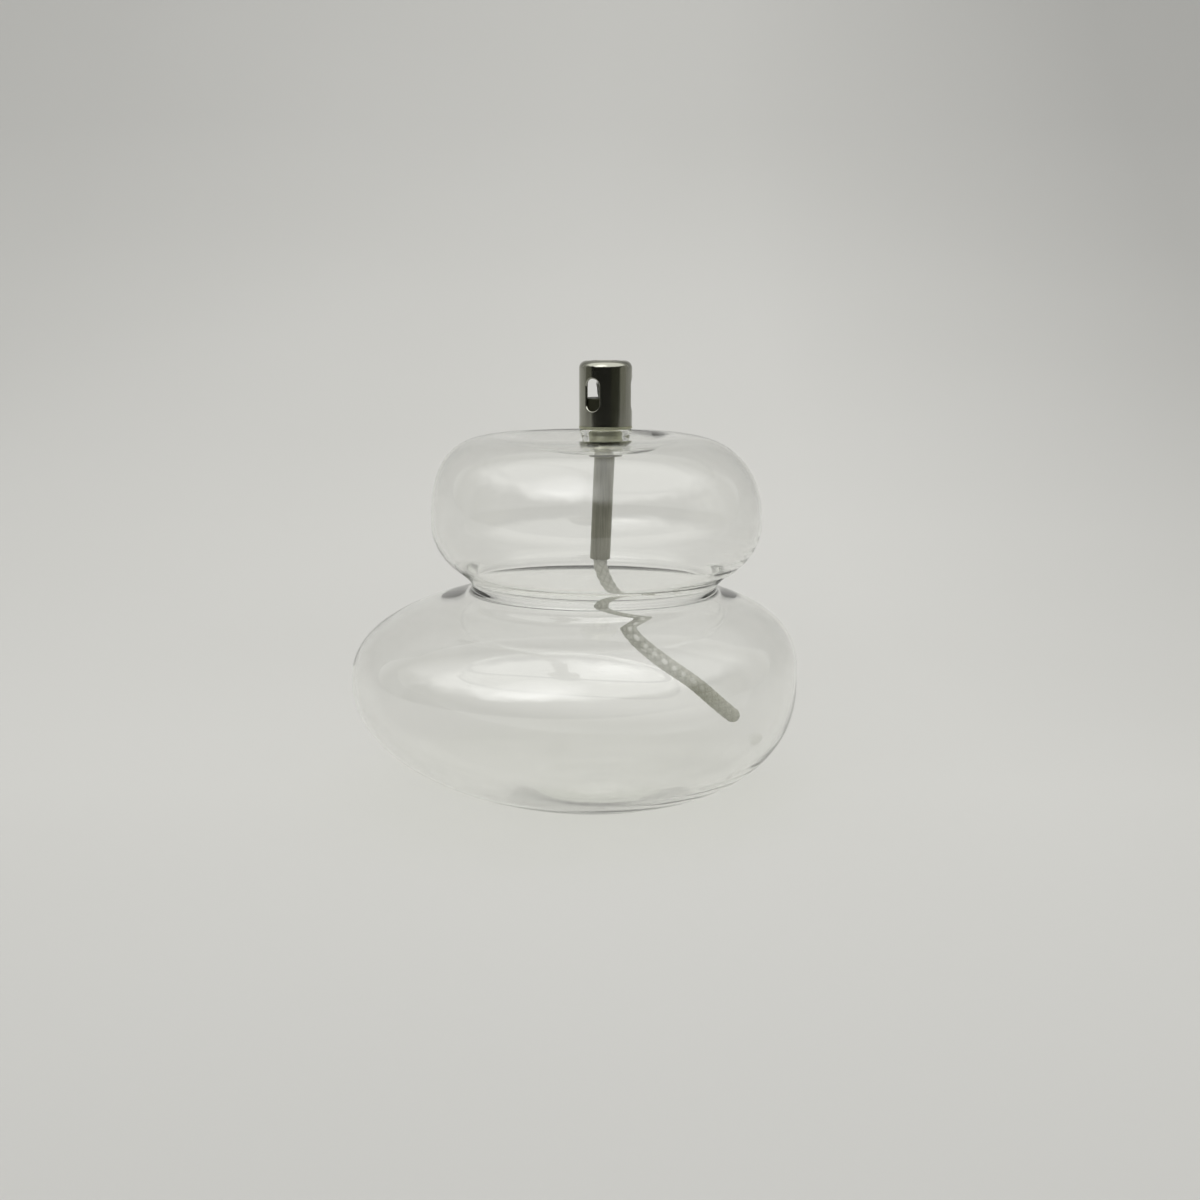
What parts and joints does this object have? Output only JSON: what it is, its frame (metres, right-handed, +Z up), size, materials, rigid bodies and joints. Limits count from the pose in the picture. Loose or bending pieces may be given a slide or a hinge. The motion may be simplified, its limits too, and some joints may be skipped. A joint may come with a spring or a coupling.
{
  "type": "glass oil lamp",
  "caption": "Table oil lamp: a clear blown-glass vessel of two stacked pebbles, a wick burner in its mouth, and a slotted metal flame cap.",
  "frame": {"origin": "on the table under the centre of the lower pebble's widest ring, at z = 0", "axes": "+Z up; the burner stands 10.7 mm to the +X side, so XZ is the rigid parts' symmetry plane but for the cap's slots; -Y is the front"},
  "size_m": [0.1546, 0.1546, 0.1504],
  "materials": {
    "glass": "clear blown glass, fire polished",
    "turned_metal": "turned, satin nickel",
    "tube_metal": "drawn tube, satin",
    "cap_metal": "polished nickel plate",
    "wick": "braided glass fibre"
  },
  "bodies": {
    "vessel": {"glass_vessel": "glass"},
    "burner": {"burner_body": "turned_metal", "retaining_ring": "turned_metal", "wick_tube": "tube_metal"},
    "wick": {"wick_core": "wick"},
    "tail": {"wick_tail": "wick"},
    "cap": {"flame_cap": "cap_metal"}
  },
  "joints": [
    {"name": "burner_lift", "type": "slide", "parent": "vessel", "child": "burner", "axis": [0, 0, 1], "range_m": [0, 0.036]},
    {"name": "wick_raise", "type": "slide", "parent": "burner", "child": "wick", "axis": [0, 0, 1], "range_m": [0, 0.003]},
    {"name": "cap_lift", "type": "slide", "parent": "burner", "child": "cap", "axis": [0, 0, 1], "range_m": [0, 0.03]},
    {"name": "tail_swing", "type": "hinge", "parent": "burner", "child": "tail", "pos_m": [0.0088, 0, 0.0815], "axis": [-0.3827, 0.9239, 0], "range_deg": [0, 25]}
  ],
  "couplings": [
    {"joint": "tail_swing", "follows": "burner_lift", "rad_per_m": 12}
  ]
}
